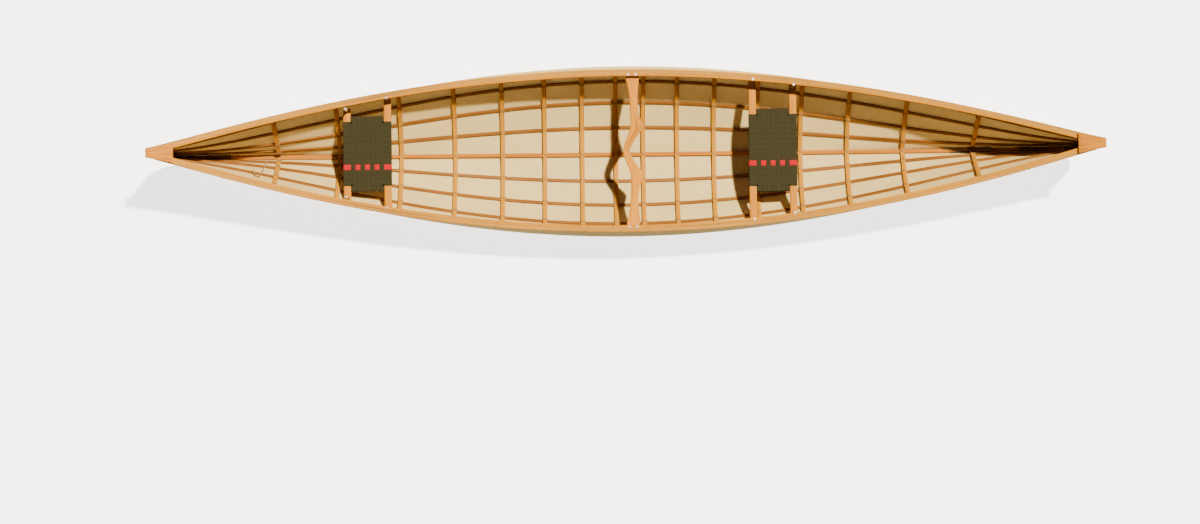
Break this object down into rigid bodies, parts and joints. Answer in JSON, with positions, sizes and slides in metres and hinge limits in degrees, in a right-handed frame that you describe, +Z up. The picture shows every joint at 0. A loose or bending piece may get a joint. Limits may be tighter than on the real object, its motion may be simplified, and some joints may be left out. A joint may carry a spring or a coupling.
{
  "type": "tandem canoe",
  "caption": "Skin-on-frame tandem canoe with bent ribs, lashed stringers, woven webbing seats and a carrying yoke.",
  "frame": {"origin": "on the floor under the middle of the keel", "axes": "+X to the bow, +Y to port, +Z up"},
  "size_m": [4.65, 0.8434, 0.5712],
  "materials": {
    "skin_fabric": "satin",
    "cedar": "satin",
    "ash": "satin",
    "spruce": "satin",
    "stem_wood": "satin",
    "cherry": "satin",
    "yoke_wood": "satin",
    "seat_wood": "satin",
    "steel": "satin",
    "webbing": "matte",
    "bow_cord": "matte",
    "stern_cord": "matte"
  },
  "bodies": {
    "root": {"skin_1": "skin_fabric", "skin_2": "skin_fabric", "skin_3": "skin_fabric", "skin_4": "skin_fabric", "skin_5": "skin_fabric", "skin_6": "skin_fabric", "skin_7": "skin_fabric", "skin_8": "skin_fabric", "skin_9": "skin_fabric", "keel": "spruce", "stringer_1_port": "cedar", "stringer_2_port": "cedar", "stringer_3_port": "cedar", "stringer_4_port": "cedar", "stringer_1_starboard": "cedar", "stringer_2_starboard": "cedar", "stringer_3_starboard": "cedar", "stringer_4_starboard": "cedar", "inwale_port": "spruce", "inwale_starboard": "spruce", "outwale_port": "spruce", "outwale_starboard": "spruce", "bow_stem": "stem_wood", "stern_stem": "stem_wood", "bow_deck": "cherry", "stern_deck": "cherry", "deck_screws": "steel", "outwale_screws": "steel", "rib_1": "ash", "rib_2": "ash", "rib_3": "ash", "rib_4": "ash", "rib_5": "ash", "rib_6": "ash", "rib_7": "ash", "rib_8": "ash", "rib_9": "ash", "rib_10": "ash", "rib_11": "ash", "rib_12": "ash", "rib_13": "ash", "rib_14": "ash", "rib_15": "ash", "rib_16": "ash", "yoke": "yoke_wood", "yoke_bolts": "steel", "bow_seat_front_bar": "seat_wood", "bow_seat_rear_bar": "seat_wood", "bow_seat_rail_port": "seat_wood", "bow_seat_rail_starboard": "seat_wood", "bow_seat_webbing": "webbing", "stern_seat_front_bar": "seat_wood", "stern_seat_rear_bar": "seat_wood", "stern_seat_rail_port": "seat_wood", "stern_seat_rail_starboard": "seat_wood", "stern_seat_webbing": "webbing", "seat_spacers": "ash", "seat_bolts": "steel", "bow_cord": "bow_cord", "stern_cord": "stern_cord"}
  },
  "joints": []
}
